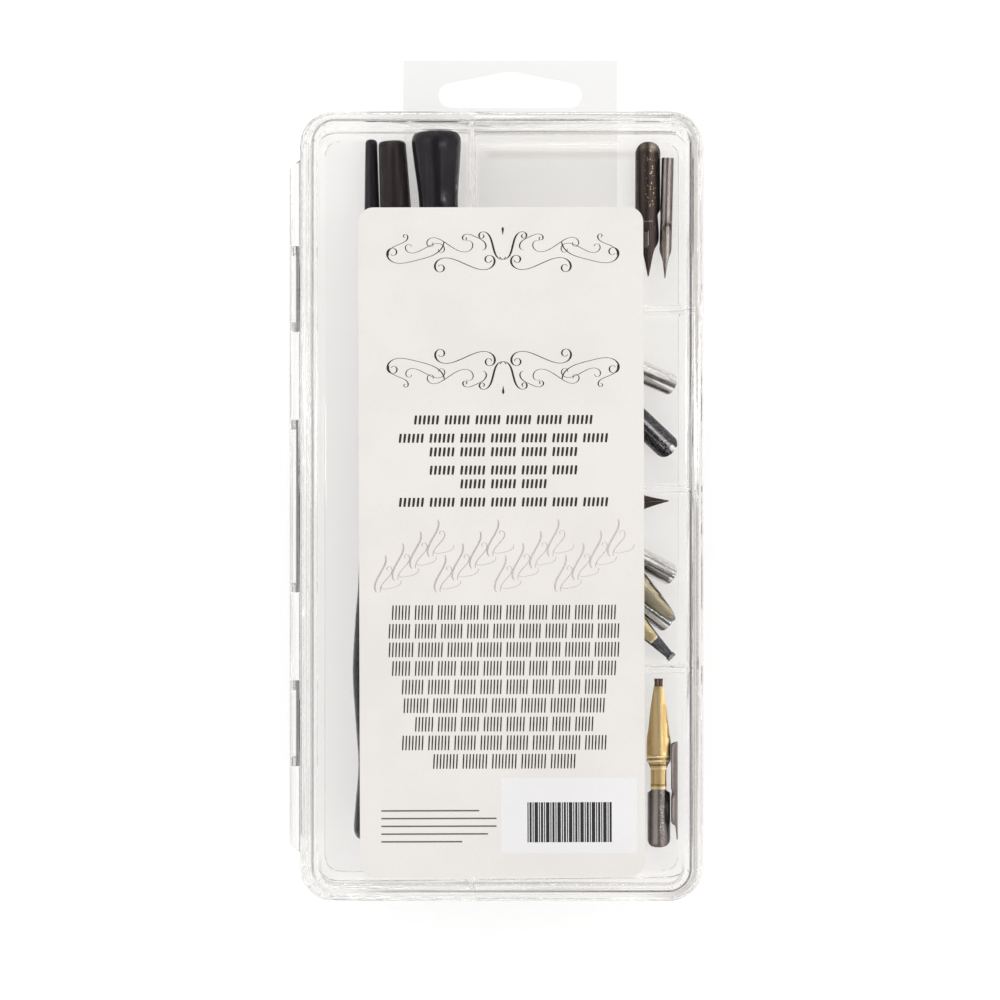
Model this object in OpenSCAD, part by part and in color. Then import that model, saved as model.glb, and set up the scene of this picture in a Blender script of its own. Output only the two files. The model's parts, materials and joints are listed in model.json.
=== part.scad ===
// Clear hinged case that holds a pen-lettering set: three dip-pen holders and twelve nibs.
// Units are millimetres. The origin is the centre of the underside, +Z is up, and +Y points
// to the hang tab. The hinge runs along the left long side, -X.

/* [Case] */
// Outside width across the rim
case_w = 94; // [88:1:130]
// Outside length along the rim
case_l = 184; // [182:1:240]
// Height of the parting line above the surface it stands on
base_h = 16; // [15.5:0.1:30]
// Height of the lid above the parting line
lid_h = 6.4; // [5.4:0.1:12]
// Outside corner radius in plan
corner_r = 8; // [7:0.5:14]
// Wall thickness of the base and the lid
wall_t = 1.6; // [1.2:0.1:2.2]
// Thickness of the floor
floor_t = 1.7; // [1.2:0.1:2.4]
// Fillet between the floor and the outer walls
floor_fillet = 3; // [1:0.1:3.4]
// How far the rim flange stands out past the wall
flange_out = 1.1; // [0.8:0.1:1.6]
// Depth of the rim flange
flange_h = 1.8; // [1.2:0.1:2.4]
// Height of the locating lip that stands up inside the lid
lip_h = 1.1; // [0.6:0.1:1.4]
// Side clearance between the locating lip and the lid
lip_gap = 0.15; // [0.1:0.05:0.3]
// Height of the stacking rim on the lid and of the foot that fits inside it
stack_h = 0.8; // [0.5:0.1:1.2]
// Width of the stacking rim
stack_w = 1.7; // [1.2:0.1:2.5]

/* [Compartments] */
// Centre of the long divider from the middle of the case
long_divider_x = -6.9; // [-8:0.1:-6]
// Centres of the three cross dividers from the middle of the case
cross_divider_y = [46.1, 4, -38.2];
// Divider thickness
divider_t = 1.4; // [1:0.1:2]
// Gap between the dividers and the closed lid
divider_gap = 0.5; // [0.3:0.1:1]
// Fillet at the foot of each divider
divider_fillet = 0.9; // [0.5:0.1:1.2]
// Radius of the scooped end of the first nib compartment
scoop_r = 6; // [4:0.5:8]

/* [Hinge and catch] */
// Length of the hinge barrel row
hinge_l = 162.5; // [150:0.5:164]
// Radius of the hinge barrels
hinge_r = 1.15; // [1:0.05:1.4]
// Gap between the barrels and the rim
hinge_gap = 0.3; // [0.25:0.05:0.5]
// Gap between neighbouring barrels
knuckle_gap = 0.25; // [0.15:0.05:0.5]
// Radius of the stub pins on the base's barrels
stub_r = 0.55; // [0.45:0.05:0.65]
// Length of the stub pins
stub_l = 2; // [1.2:0.1:3]
// Running clearance round each stub pin
stub_clearance = 0.06; // [0.04:0.01:0.1]
// Length of each catch bead inside the lid
catch_l = 8; // [5:1:14]
// Radius of each catch bead
catch_r = 0.5; // [0.4:0.05:0.6]

/* [Label and hang tab] */
// Label width
label_w = 66.3; // [40:0.1:80]
// Label length
label_l = 155.8; // [100:0.1:165]
// Label corner radius
label_r = 3.5; // [1:0.1:8]
// Thickness of the label paper
label_t = 0.15; // [0.1:0.05:0.3]
// Label turn, anticlockwise
label_turn = 0.17; // [-1:0.01:1]
// Width of the hang tab
tab_w = 51; // [40:0.5:60]
// How far the hang tab stands out past the case
tab_out = 14.3; // [13:0.1:22]
// How far the hang tab is stuck under the base
tab_stuck = 32; // [20:1:50]
// Thickness of the hang tab film
tab_t = 0.3; // [0.2:0.05:0.5]
// Width of the hook slot
slot_w = 34.2; // [28:0.1:36]
// Height of the hook slot at its two ends
slot_end_h = 6; // [4.2:0.1:6.5]
// Height of the hook slot at its peak
slot_h = 8.6; // [7:0.1:9.5]

/* [Pen holders] */
// Length of each holder
holder_l = 166; // [150:0.5:170]
// Radius of the nib socket in a lettering holder
socket_r = 3.1; // [3:0.05:3.4]
// Depth of the nib socket in a lettering holder
socket_l = 13; // [10:0.5:18]
// Radius of the socket in the mapping holder
quill_socket_r = 1.7; // [1.6:0.05:2]
// Wall of the spring clips in the sockets
clip_wall = 0.35; // [0.25:0.05:0.5]

/* [Nibs] */
// Thickness of the nib steel
steel_t = 0.3; // [0.2:0.05:0.4]
// Thickness of the brass reservoirs
brass_t = 0.3; // [0.2:0.05:0.4]
// Length of a broad-edge nib
broad_l = 40; // [36:0.5:41]
// Radius of a broad-edge nib's shank
broad_shank_r = 2.72; // [2.5:0.01:2.9]
// Length of a broad-edge nib's shank
broad_shank_l = 13.5; // [11:0.5:15]

/* [Hidden] */

$fn = 64;
eps = 0.01;

// Heights in the case
top_z = base_h + lid_h;
panel_z = top_z - stack_h;
lid_under_z = panel_z - wall_t + 0.1;
floor_z = stack_h + floor_t;
divider_top = lid_under_z - divider_gap;

// Plan sizes of the case, from the middle to the inside of the walls
in_x = case_w / 2 - flange_out - wall_t;
in_y = case_l / 2 - flange_out - wall_t;
in_r = corner_r - flange_out - wall_t;

// Small edge break, and how far joined bodies run into each other
edge = 0.3;
bite = 0.5;

// Outer radius at the bottom of the walls, inset of the stacking rim, and inset of the foot
// that drops inside the rim of a case below
foot_r = 1.8;
rim_in = 2.5;
foot_in = rim_in + stack_w + 0.5;

// Outer edge radius and inner corner fillet of the lid
lid_edge_r = 1.4;
lid_fillet = 1;

// Faces of the long divider, and the hang tab side of each nib compartment
divider_left = long_divider_x - divider_t / 2;
divider_right = long_divider_x + divider_t / 2;
cell_top = concat([in_y], [for (y = cross_divider_y) y - divider_t / 2]);

// Hinge line. Each barrel is listed by where it starts and how long it is, in pitches.
BASE_KNUCKLES = [[0, 1], [2, 1], [5, 1], [7, 1]];
LID_KNUCKLES = [[1, 1], [3, 2], [6, 1]];
hinge_x = -(case_w / 2 + hinge_gap + hinge_r);
pitch = hinge_l / 8;
web_t = 1.1;
end_taper = 2.3;
socket_end_gap = 0.3;
groove_gap = 0.1;

// Label and hang tab places. The tab lies in a relief in the underside.
label_y = -8.35;
tab_x = 2.05;
tab_side_gap = 0.3;
tab_relief = 0.05;
slot_y = 3;
slot_peak_r = 13;
slot_peak_half = 3;

// Holder outlines: [distance from the nib end, radius]
LETTERING = [
    [3, 5.85], [8, 5.45], [17.5, 4.62], [28, 5.2], [39.5, 5.75], [52, 5], [64, 4.05],
    [100, 2.95], [holder_l - 18, 1.85], [holder_l - 1, 1.42]
];
MAPPING = [
    [3, 3.4], [18, 3.7], [45, 4], [80, 4.1], [115, 4], [holder_l - 31, 3.85],
    [holder_l - 16, 3.68], [holder_l - 1, 3.26]
];
clip_gap = 0.75;
prong_slot = 0.8;

// Resting places of the holders' nib ends: distance left of the long divider, distance down
// from the hang tab end, height of the axis above the floor, turn and tilt
holder_b_turn = 3.1;
holder_b_tail = 18.3771; // from the long divider to the middle of holder_b's tail
holder_gap = 12; // between the middles of holder_a's and holder_b's nib ends
HOLDER_B = [
    holder_b_tail - holder_l * sin(holder_b_turn), holder_l + 2.5, 4.14, holder_b_turn, 0
];
HOLDER_A = [HOLDER_B[0] + holder_gap, holder_l + 1.8, 7.21, 0.68, -1.99];
HOLDER_C = [7.9, 0.5, 7.21, 182, -1.99];

// Nibs: radius of the broad part, half width of the neck, clearance under the brass, slit width
front_r = 4.2;
neck_w = 1.8;
seat = 0.04;
slit_w = 0.14;

// Resting places of the broad-edge nibs' shank ends: compartment, distance in from the right
// wall, distance down from the compartment's hang tab side, height above the floor, turn,
// tilt and roll; then the shape of each foot and how far its brass reaches
BROAD = [
    [1, 3, 17, 0.12, 66.8, 0, 0],
    [2, 3.2, 20.1, 0.05, 62.5, 0, 0],
    [2, 4.2, 31.4, 0.05, 54.5, 0, 0],
    [2, 30.8, 1.3, 4.98, -136.5, -6.6, 0],
    [2, 31.8, 11.3, 6.03, -135, -11.2, 0],
    [3, 6.85, 42, 0.3, 0, 0, -4.5]
];
FEET = ["square", "wide", "round", "round", "wide", "square"];
REACH = [38.1, 37.5, 37.8, 38.4, 33.8, 38.1];

// Points of an arc from angle a0 to a1, in n steps
function arc(c, r, a0, a1, n = 5) =
    [for (i = [0:n]) let (a = a0 + (a1 - a0) * i / n) [c[0] + r * cos(a), c[1] + r * sin(a)]];

// Smooth curve through points, as a cubic through each pair with its neighbours' slope
function curve(p, n = 4) = [
    for (i = [0:len(p) - 2], j = [0:n - 1])
        let (
            t = j / n, a = p[max(i - 1, 0)], b = p[i], c = p[i + 1], d = p[min(i + 2, len(p) - 1)]
        )
        0.5 * (2 * b + (c - a) * t + (2 * a - 5 * b + 4 * c - d) * t * t
            + (3 * b - a - 3 * c + d) * t * t * t),
    p[len(p) - 1]
];

// A half outline, listed as [half width, distance], made whole about the Y axis
function mirrored(p) =
    concat(p, [for (i = [len(p) - 1:-1:0]) if (p[i][0] > 0) [-p[i][0], p[i][1]]]);

// Sweeps a profile round a rounded rectangle. In the profile X is 0 on the outline and
// negative inwards, and Y is the height.
module round_rectangle(w, l, r) {
    for (q = [0:3]) {
        long = q % 2 == 0;
        across = long ? w : l;
        along = long ? l : w;
        rotate([0, 0, 90 * q]) {
            translate([across / 2 - r, along / 2 - r, 0])
                rotate_extrude(angle = 90)
                    translate([r, 0]) children();
            translate([across / 2, along / 2 - r, 0])
                rotate([90, 0, 0])
                    linear_extrude(along - 2 * r) children();
        }
    }
}

// Fills a rounded rectangle from z0 up by h
module round_plate(w, l, r, z0, h) {
    translate([0, 0, z0])
        linear_extrude(h)
            union() {
                square([w - 2 * r, l], center = true);
                square([w, l - 2 * r], center = true);
                for (sx = [-1, 1], sy = [-1, 1])
                    translate([sx * (w / 2 - r), sy * (l / 2 - r)]) circle(r);
            }
}

// A solid block with the profile's sides: the profile ends on its inner side at x = -r
module round_block(w, l, r, z0, z1) {
    round_rectangle(w, l, r) children();
    translate([-(w / 2 - r), -(l / 2 - r), z0])
        cube([w - 2 * r, l - 2 * r, z1 - z0]);
}

// Outside of the base: foot, wall, flange and locating lip
module base_outside() {
    wall_x = -flange_out;
    round_block(case_w, case_l, corner_r, stack_h, base_h)
        polygon(concat(
            [[-corner_r, stack_h]],
            arc([wall_x - foot_r, stack_h + foot_r], foot_r, -90, 0),
            [[wall_x, base_h - flange_h - edge], [-edge, base_h - flange_h]],
            [[0, base_h - flange_h + edge], [0, base_h]],
            [[-corner_r, base_h]]
        ));
    round_plate(case_w - 2 * foot_in, case_l - 2 * foot_in, corner_r - foot_in + 1, 0,
        stack_h + eps);
    lip_out = wall_t + lip_gap;
    round_rectangle(case_w, case_l, corner_r)
        polygon([
            [-flange_out - wall_t, base_h - bite], [-lip_out, base_h - bite],
            [-lip_out, base_h + lip_h - edge], [-lip_out - edge, base_h + lip_h],
            [-flange_out - wall_t, base_h + lip_h]
        ]);
}

// The space inside the base, with a fillet between the floor and the walls
module base_inside() {
    up = base_h + lip_h + 1;
    round_block(2 * in_x, 2 * in_y, in_r, floor_z, up)
        polygon(concat(
            [[-in_r, floor_z]],
            arc([-floor_fillet, floor_z + floor_fillet], floor_fillet, -90, 0, 8),
            [[0, up], [-in_r, up]]
        ));
}

// A divider along Y with a rounded top and a fillet at each side of its foot
module divider(l) {
    r = divider_t / 2;
    rotate([90, 0, 0])
        linear_extrude(l)
            polygon(concat(
                arc([0, divider_top - r], r, 0, 180, 8),
                [[-r, floor_z + divider_fillet]],
                arc([-r - divider_fillet, floor_z + divider_fillet], divider_fillet, 0, -90),
                [[-r - divider_fillet, floor_z - bite], [r + divider_fillet, floor_z - bite]],
                arc([r + divider_fillet, floor_z + divider_fillet], divider_fillet, -90, -180)
            ));
}

module dividers() {
    intersection() {
        union() {
            translate([long_divider_x, in_y + bite, 0]) divider(2 * (in_y + bite));
            for (y = cross_divider_y)
                translate([in_x + bite, y, 0])
                    rotate([0, 0, -90]) divider(in_x + bite - long_divider_x);
            first_compartment_scoop();
        }
        round_plate(2 * (in_x + edge), 2 * (in_y + edge), in_r + edge, floor_z - bite, top_z);
    }
}

// The hollow curve at the hang tab end of the first nib compartment
module first_compartment_scoop() {
    translate([long_divider_x, in_y, floor_z])
        rotate([90, 0, 90])
            linear_extrude(in_x - long_divider_x + edge)
                polygon(concat(
                    [[edge, -bite], [edge, scoop_r]],
                    arc([-scoop_r, scoop_r], scoop_r, 0, -90, 8),
                    [[-scoop_r, -bite]]
                ));
}

// One barrel with the web that joins it to the rim; up is 1 for the lid and -1 for the base
module knuckle(k, up) {
    y0 = -hinge_l / 2 + k[0] * pitch + knuckle_gap / 2;
    l = k[1] * pitch - knuckle_gap;
    translate([hinge_x, y0, base_h])
        rotate([-90, 0, 0]) cylinder(h = l, r = hinge_r);
    reach = case_w / 2 + hinge_x;
    translate([hinge_x, y0, up > 0 ? base_h : base_h - web_t])
        cube([bite - reach, l, web_t]);
}

// The base's barrels, sloped off at the two ends of the row
module base_knuckles() {
    end_y = hinge_l / 2;
    out_x = hinge_x - hinge_r;
    rim_x = -case_w / 2;
    intersection() {
        union() {
            for (k = BASE_KNUCKLES) knuckle(k, -1);
        }
        translate([0, 0, base_h - 2 * hinge_r])
            linear_extrude(4 * hinge_r)
                polygon([
                    [out_x - edge, end_y - end_taper - edge], [rim_x, end_y], [rim_x + 2, end_y],
                    [rim_x + 2, -end_y], [rim_x, -end_y], [out_x - edge, edge + end_taper - end_y]
                ]);
    }
}

// The stub pins, or the sockets they turn in when grow is above 0
module stubs(grow = 0) {
    for (k = LID_KNUCKLES, side = [-1, 1]) {
        end = k[0] + (side > 0 ? k[1] : 0);
        reach = stub_l + knuckle_gap / 2 + (grow > 0 ? socket_end_gap : 0);
        translate([hinge_x, -hinge_l / 2 + end * pitch + side * knuckle_gap / 2, base_h])
            rotate([90 * side, 0, 0])
                translate([0, 0, -eps]) cylinder(h = reach + knuckle_gap / 2, r = stub_r + grow);
    }
}

// Beads inside the lid's free side that click into a groove in the locating lip
module catch_beads(grow = 0) {
    for (side = [-1, 1])
        translate([case_w / 2 - wall_t + 0.2, side * case_l / 4 - (catch_l / 2 + grow),
                base_h + lip_h / 2])
            rotate([-90, 0, 0]) cylinder(h = catch_l + 2 * grow, r = catch_r + grow);
}

module base_tray() {
    color("gainsboro", 0.45)
        difference() {
            union() {
                difference() {
                    base_outside();
                    base_inside();
                }
                dividers();
                base_knuckles();
                stubs();
            }
            catch_beads(groove_gap);
            tab_recess();
        }
}

module lid_outside() {
    round_block(case_w, case_l, corner_r, base_h, panel_z)
        polygon(concat(
            [[-corner_r, base_h], [0, base_h]],
            arc([-lid_edge_r, panel_z - lid_edge_r], lid_edge_r, 0, 90),
            [[-corner_r, panel_z]]
        ));
    round_rectangle(case_w, case_l, corner_r)
        polygon([
            [-rim_in - stack_w, panel_z - bite], [-rim_in, panel_z - bite],
            [-rim_in, top_z - edge], [-rim_in - edge, top_z],
            [-rim_in - stack_w + edge, top_z], [-rim_in - stack_w, top_z - edge]
        ]);
}

module lid_inside() {
    r = corner_r - wall_t;
    round_block(case_w - 2 * wall_t, case_l - 2 * wall_t, r, base_h - bite, lid_under_z)
        polygon(concat(
            [[-r, base_h - bite], [0, base_h - bite]],
            arc([-lid_fillet, lid_under_z - lid_fillet], lid_fillet, 0, 90),
            [[-r, lid_under_z]]
        ));
}

module lid() {
    color("whitesmoke", 0.3)
        difference() {
            union() {
                difference() {
                    lid_outside();
                    lid_inside();
                }
                catch_beads();
                for (k = LID_KNUCKLES) knuckle(k, 1);
            }
            stubs(stub_clearance);
        }
}

module label() {
    color("antiquewhite")
        translate([0, label_y, 0])
            rotate([0, 0, label_turn])
                round_plate(label_w, label_l, label_r, panel_z, label_t);
}

// Room for the stuck part of the hang tab in the underside
module tab_recess() {
    w = tab_w + 2 * tab_side_gap;
    translate([tab_x - w / 2, case_l / 2 - tab_stuck - tab_side_gap, -1])
        cube([w, tab_stuck + 2, tab_t + tab_relief + 1]);
}

// Hook slot: round ends joined by a flat lower edge, with a sloping top up to a rounded peak
module hook_slot() {
    r = slot_end_h / 2;
    half = slot_w / 2 - r;
    slope = atan2(slot_h - slot_end_h, half - slot_peak_half);
    polygon(concat(
        arc([half, r], r, -90, 90 - slope / 2, 8),
        arc([0, slot_h - slot_peak_r], slot_peak_r, 90 - slope, 90 + slope, 6),
        arc([-half, r], r, 90 + slope / 2, 270, 8)
    ));
}

module hang_tab() {
    color("white", 0.6)
        translate([tab_x, case_l / 2, 0])
            linear_extrude(tab_t)
                difference() {
                    translate([-tab_w / 2, -tab_stuck]) square([tab_w, tab_stuck + tab_out]);
                    translate([0, slot_y]) hook_slot();
                }
}

// A turned holder along +Y from its nib end, with a drilled socket
module holder(outline, hole_r) {
    mouth = outline[0][1] - 1.6;
    tail = outline[len(outline) - 1][1];
    difference() {
        rotate([-90, 0, 0])
            rotate_extrude()
                polygon(concat(
                    [[0, 0], [mouth, 0]],
                    [for (p = curve(concat([[0.35, mouth + 0.8], [1.3, mouth + 1.35]], outline)))
                        [p[1], p[0]]],
                    [[tail - edge, holder_l - edge], [tail - 3 * edge, holder_l], [0, holder_l]]
                ));
        rotate([-90, 0, 0])
            translate([0, 0, -1]) cylinder(h = socket_l + 1, r = hole_r);
    }
}

// Spring clip pressed into a socket: a ring at the bottom and four prongs
module spring_clip(hole_r, prong_r) {
    ring_l = 2;
    rotate([-90, 0, 0])
        translate([0, 0, 0.5])
            difference() {
                union() {
                    cylinder(h = socket_l - 0.5, r = prong_r);
                    translate([0, 0, socket_l - 0.5 - ring_l]) cylinder(h = ring_l, r = hole_r);
                }
                translate([0, 0, -1]) cylinder(h = socket_l - 1, r = prong_r - clip_wall);
                for (a = [0, 90])
                    rotate([0, 0, a])
                        translate([-hole_r, -prong_slot / 2, -1])
                            cube([2 * hole_r, prong_slot, socket_l - ring_l]);
            }
}

// Lays a piece that points along +Y on the floor: turned in plan, tilted end to end, rolled
module laid(x, y, h, turn, tilt, roll = 0) {
    translate([x, y, floor_z + h])
        rotate([0, 0, turn])
            rotate([tilt, 0, 0])
                rotate([0, roll, 0]) children();
}

module holder_place(p) {
    laid(divider_left - p[0], in_y - p[1], p[2], p[3], p[4]) children();
}

// A nib's place: compartment, distance in from the right wall and down from the compartment's
// hang tab side, height above the floor, turn, tilt, roll
module nib_place(p) {
    laid(in_x - p[1], cell_top[p[0]] - p[2], p[3], p[4], p[5], p[6]) children();
}

module holder_a() {
    color("#221f24") holder_place(HOLDER_A) holder(LETTERING, socket_r);
}

module holder_a_clip() {
    color("silver") holder_place(HOLDER_A) spring_clip(socket_r, socket_r - clip_gap);
}

module holder_b() {
    color("#363030") holder_place(HOLDER_B) holder(MAPPING, quill_socket_r);
}

module holder_b_clip() {
    color("silver")
        holder_place(HOLDER_B) spring_clip(quill_socket_r, quill_socket_r - clip_gap / 2);
}

module holder_c() {
    color("#262128") holder_place(HOLDER_C) holder(LETTERING, socket_r);
}

module holder_c_clip() {
    color("silver") holder_place(HOLDER_C) spring_clip(socket_r, socket_r - clip_gap);
}

// Half a tube along +Y, with its two edges down on z = 0 and its crown at z = crown,
// cut to an outline of [half width, distance] pairs
module trough(r, t, crown, outline) {
    l = outline[len(outline) - 1][1];
    intersection() {
        translate([0, -1, crown - r])
            rotate([-90, 0, 0])
                difference() {
                    cylinder(h = l + 2, r = r);
                    translate([0, 0, -1]) cylinder(h = l + 4, r = r - t);
                }
        linear_extrude(crown + 1) polygon(mirrored(outline));
    }
}

// Half outline of a rounded shank end
function round_end(w, r) = concat([[0, 0], [w - r, 0]], arc([w - r, r], r, -60, 0, 5));

// Steel of a broad-edge nib. The foot is "square", "round" or "wide".
module broad_steel(foot) {
    r = broad_shank_r;
    crown = r;
    difference() {
        union() {
            trough(r, steel_t, crown, concat(
                round_end(r, 1.9),
                [[r, broad_shank_l - 0.8], [neck_w, broad_shank_l], [neck_w, broad_shank_l + 5]]
            ));
            trough(front_r, steel_t, crown, concat(
                [[0, broad_shank_l + 3], [neck_w, broad_shank_l + 3], [neck_w, broad_shank_l + 5]],
                curve([[2.75, 20.6], [2.75, 24], [2.25, 28.6], [1.6, 33], [0.95, broad_l - 1.2]]),
                foot == "square" ? [[1.05, broad_l], [0, broad_l]]
                    : [[0.5, broad_l - 0.4], [0, broad_l - 0.4]]
            ));
            if (foot == "round")
                translate([0, broad_l - 0.7, crown - 0.42]) cylinder(h = 0.4, r = 0.7);
            if (foot == "wide")
                translate([-1.15, broad_l - 0.9, crown - 0.42]) cube([2.3, 0.9, 0.4]);
        }
        translate([-slit_w / 2, 27, 0]) cube([slit_w, broad_l, crown + 1]);
    }
}

// Brass reservoir over a broad-edge nib: a neck clip, two raised bands and a tapering shield
module brass_reservoir(reach) {
    crown = broad_shank_r + seat + brass_t;
    r = front_r + seat + brass_t;
    trough(r, brass_t, crown, concat(
        [[0, broad_shank_l + 0.2], [neck_w + 0.06, broad_shank_l + 0.2], [neck_w + 0.06, 19.8]],
        [[2.75, 20.2], [2.9, 20.8], [2.86, 21.5]],
        curve([[2.86, 22.2], [2.84, 25.4], [2.4, 28.3], [1.9, reach - 5], [1.1, reach]]),
        [[0, reach]]
    ));
    band = 0.25;
    for (y = [20.1, 21.1])
        trough(r + band, brass_t + band / 2, crown + band,
            [[0, y], [2.8, y], [2.8, y + 0.6], [0, y + 0.6]]);
}

// Pointed nib: a rounded shank, shoulders and a tapering nose with a vent and a slit. The belly
// is where the nose is widest, as a part of its length, and waist 1 gives straight sides.
module pointed_nib(w, shank_l, l, nose_w, belly = 0.42, waist = 0.8, depth = 0) {
    tip = 0.12;
    crown = depth > 0 ? depth : w;
    nose_l = l - shank_l;
    taper_l = nose_l * (1 - belly);
    difference() {
        trough(w, steel_t, crown, concat(
            round_end(w, w * 0.8),
            [[w, shank_l - 0.5], [nose_w * 0.88, shank_l + 0.6]],
            curve([
                [nose_w * 0.88, shank_l + 1.2], [nose_w, l - taper_l],
                [nose_w * 0.69 * waist, l - taper_l * 0.69],
                [nose_w * 0.38 * waist, l - taper_l * 0.38], [tip, l]
            ]),
            [[0, l]]
        ));
        vent_y = shank_l + nose_l * 0.3;
        translate([-0.35, vent_y, 0]) cube([0.7, nose_l * 0.22, crown + 1]);
        translate([-slit_w / 2, vent_y, 0]) cube([slit_w, l, crown + 1]);
    }
}

// Crow-quill nib: a closed tube with the nose cut from its upper part
module quill_nib(r, tube_l, l) {
    difference() {
        translate([0, 0, r])
            rotate([-90, 0, 0])
                difference() {
                    cylinder(h = l, r = r);
                    translate([0, 0, -1]) cylinder(h = l + 2, r = r - 0.22);
                }
        translate([-r - 1, tube_l, -1]) cube([2 * r + 2, l, r + 1.05]);
        for (side = [-1, 1])
            translate([0, 0, -1])
                linear_extrude(2 * r + 2)
                    polygon(concat(
                        [[side * (r + 1), tube_l + 4.5]],
                        [for (p = curve([
                            [r + 0.1, tube_l + 5.5], [r * 0.9, tube_l + 7],
                            [r * 0.45, tube_l + 9.2], [0.1, l]
                        ])) [side * p[0], p[1]]],
                        [[side * 0.1, l + 1], [side * (r + 1), l + 1]]
                    ));
        translate([-slit_w / 2, tube_l + 6, r]) cube([slit_w, l, r + 1]);
    }
}

module broad_nib(i) {
    color(i == 4 ? "#4a4d55" : "#a8a29c") nib_place(BROAD[i]) broad_steel(FEET[i]);
}

module reservoir(i) {
    color(i == 3 ? "#8d8458" : "#b08d4c") nib_place(BROAD[i]) brass_reservoir(REACH[i]);
}

module globe_nib() {
    color("#3d342f") nib_place([0, 9.5, 2.8, 0.75, 180, -1.25, 0]) pointed_nib(3, 16.6, 32, 2.6);
}

module crow_quill_nib() {
    color("#80766f") nib_place([0, 4.8, 6.7, 0.1, 178.5, 0, 0]) quill_nib(1.45, 15.4, 28.6);
}

module imperial_nib() {
    color("#33363f") nib_place([1, 3.6, 32.6, 0.1, 46.5, 0, 0]) pointed_nib(2.95, 15, 32, 2.5);
}

module drawing_nib() {
    color("#2f2623") nib_place([2, 27.3, 3.15, 0.2, -87.3, 0, 0])
        pointed_nib(2, 11, 22.7, 1.95, belly = 0.4, waist = 1);
}

module school_nib() {
    color("#6b625c") nib_place([3, 3.95, 17, 2.2, 180, 0, -90])
        pointed_nib(2.3, 11, 23.2, 2, belly = 0.62, depth = 1.5);
}

module mapping_nib() {
    color("#5d564f") nib_place([1, 45.8, 32.9, 0.05, -80, 0, 0]) pointed_nib(2.6, 13, 28, 2.2);
}

base_tray();
lid();
label();
hang_tab();
holder_a();
holder_a_clip();
holder_b();
holder_b_clip();
holder_c();
holder_c_clip();
for (i = [0:5]) {
    broad_nib(i);
    reservoir(i);
}
globe_nib();
crow_quill_nib();
imperial_nib();
drawing_nib();
school_nib();
mapping_nib();
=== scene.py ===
"""Looks of a calligraphy set box: a clear hinged case with a paper label, three holders and twelve nibs."""

import json
import math

import bpy
from bpy.props import FloatProperty, FloatVectorProperty, IntProperty, PointerProperty
from mathutils import Matrix, Vector

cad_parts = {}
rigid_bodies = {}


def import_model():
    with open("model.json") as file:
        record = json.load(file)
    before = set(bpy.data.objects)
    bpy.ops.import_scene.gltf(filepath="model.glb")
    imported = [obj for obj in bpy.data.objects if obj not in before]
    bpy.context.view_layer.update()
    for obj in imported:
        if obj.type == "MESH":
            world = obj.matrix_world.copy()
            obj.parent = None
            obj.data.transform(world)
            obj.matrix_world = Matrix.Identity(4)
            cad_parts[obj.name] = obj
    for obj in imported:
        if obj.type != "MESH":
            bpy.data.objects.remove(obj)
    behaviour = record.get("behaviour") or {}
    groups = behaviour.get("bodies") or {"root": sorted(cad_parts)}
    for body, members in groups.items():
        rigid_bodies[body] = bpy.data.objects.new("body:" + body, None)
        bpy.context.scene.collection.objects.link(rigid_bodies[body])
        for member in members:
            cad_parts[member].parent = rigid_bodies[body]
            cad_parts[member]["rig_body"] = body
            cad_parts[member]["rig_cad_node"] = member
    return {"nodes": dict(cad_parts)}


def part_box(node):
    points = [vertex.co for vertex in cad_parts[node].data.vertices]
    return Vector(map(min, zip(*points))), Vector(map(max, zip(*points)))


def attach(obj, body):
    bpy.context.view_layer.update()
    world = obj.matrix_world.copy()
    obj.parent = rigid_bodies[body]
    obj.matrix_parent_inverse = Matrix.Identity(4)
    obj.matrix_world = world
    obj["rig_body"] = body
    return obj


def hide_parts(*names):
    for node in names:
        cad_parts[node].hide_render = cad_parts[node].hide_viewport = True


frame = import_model()

bl_info = {
    "name": "Calligraphy set box",
    "version": (1, 0, 0),
    "blender": (4, 5, 0),
    "location": "View3D > Sidebar > Calligraphy Set",
    "description": "Finishes the pieces of a calligraphy set box round its fixed frame",
    "category": "Object",
}

MM = 0.001
LABEL_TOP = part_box("label")[1].z
LABEL_TURN = 0.17  # degrees
LID_UNDERSIDE = 0.016
APART = 0.02 * MM  # keeps two flats that touch out of the same plane
SMOOTH_ANGLE = 32.0

# The label's scrollwork, right half, in mm and degrees: middle, heading, branch ahead and branch behind as
# (length, turn), hairline and swell
SCROLLS = (
    (8.9, -2.2, 24, (13.6, -450), (14.0, -470), 0.09, 0.30),
    (20.2, -1.4, -14, (13.5, 440), (8.4, -75), 0.08, 0.27),
    (2.3, 1.9, 76, (8.2, -430), (5.2, -150), 0.08, 0.26),
    (12.9, 2.4, 34, (8.5, -350), (9.5, -260), 0.07, 0.14),
    (18.2, 1.4, -28, (7.5, 300), (8.0, 320), 0.07, 0.14),
    (6.4, 4.1, 24, (5.6, -400), (5.0, 170), 0.07, 0.2),
    (24.0, 2.4, 158, (5.0, -380), (4.2, -100), 0.07, 0.16),
)
BOLDNESS = 1.4  # how much bolder than its hairlines and swells the scrollwork is printed
# The scrollwork's two bands: height of the middle and whether it is upright or turned over
BANDS = ((58.6, 1), (32.4, -1))
# Rows of bold pen strokes: foot of the row and half its length
TITLE_ROWS = ((19.05, 20.7), (14.8, 24.8), (11.6, 16.5), (7.35, 19.4), (4.15, 12.4), (-0.1, 26.0))
# Rows of fine pen strokes: half their lengths, the foot of the first row and the step down to the next
SMALL_ROWS = (25.6, 25.9, 26.9, 25.8, 24.9, 25.1, 21.7, 23.1, 18.2)
SMALL_FOOT, SMALL_STEP = -26.4, 4.33
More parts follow.
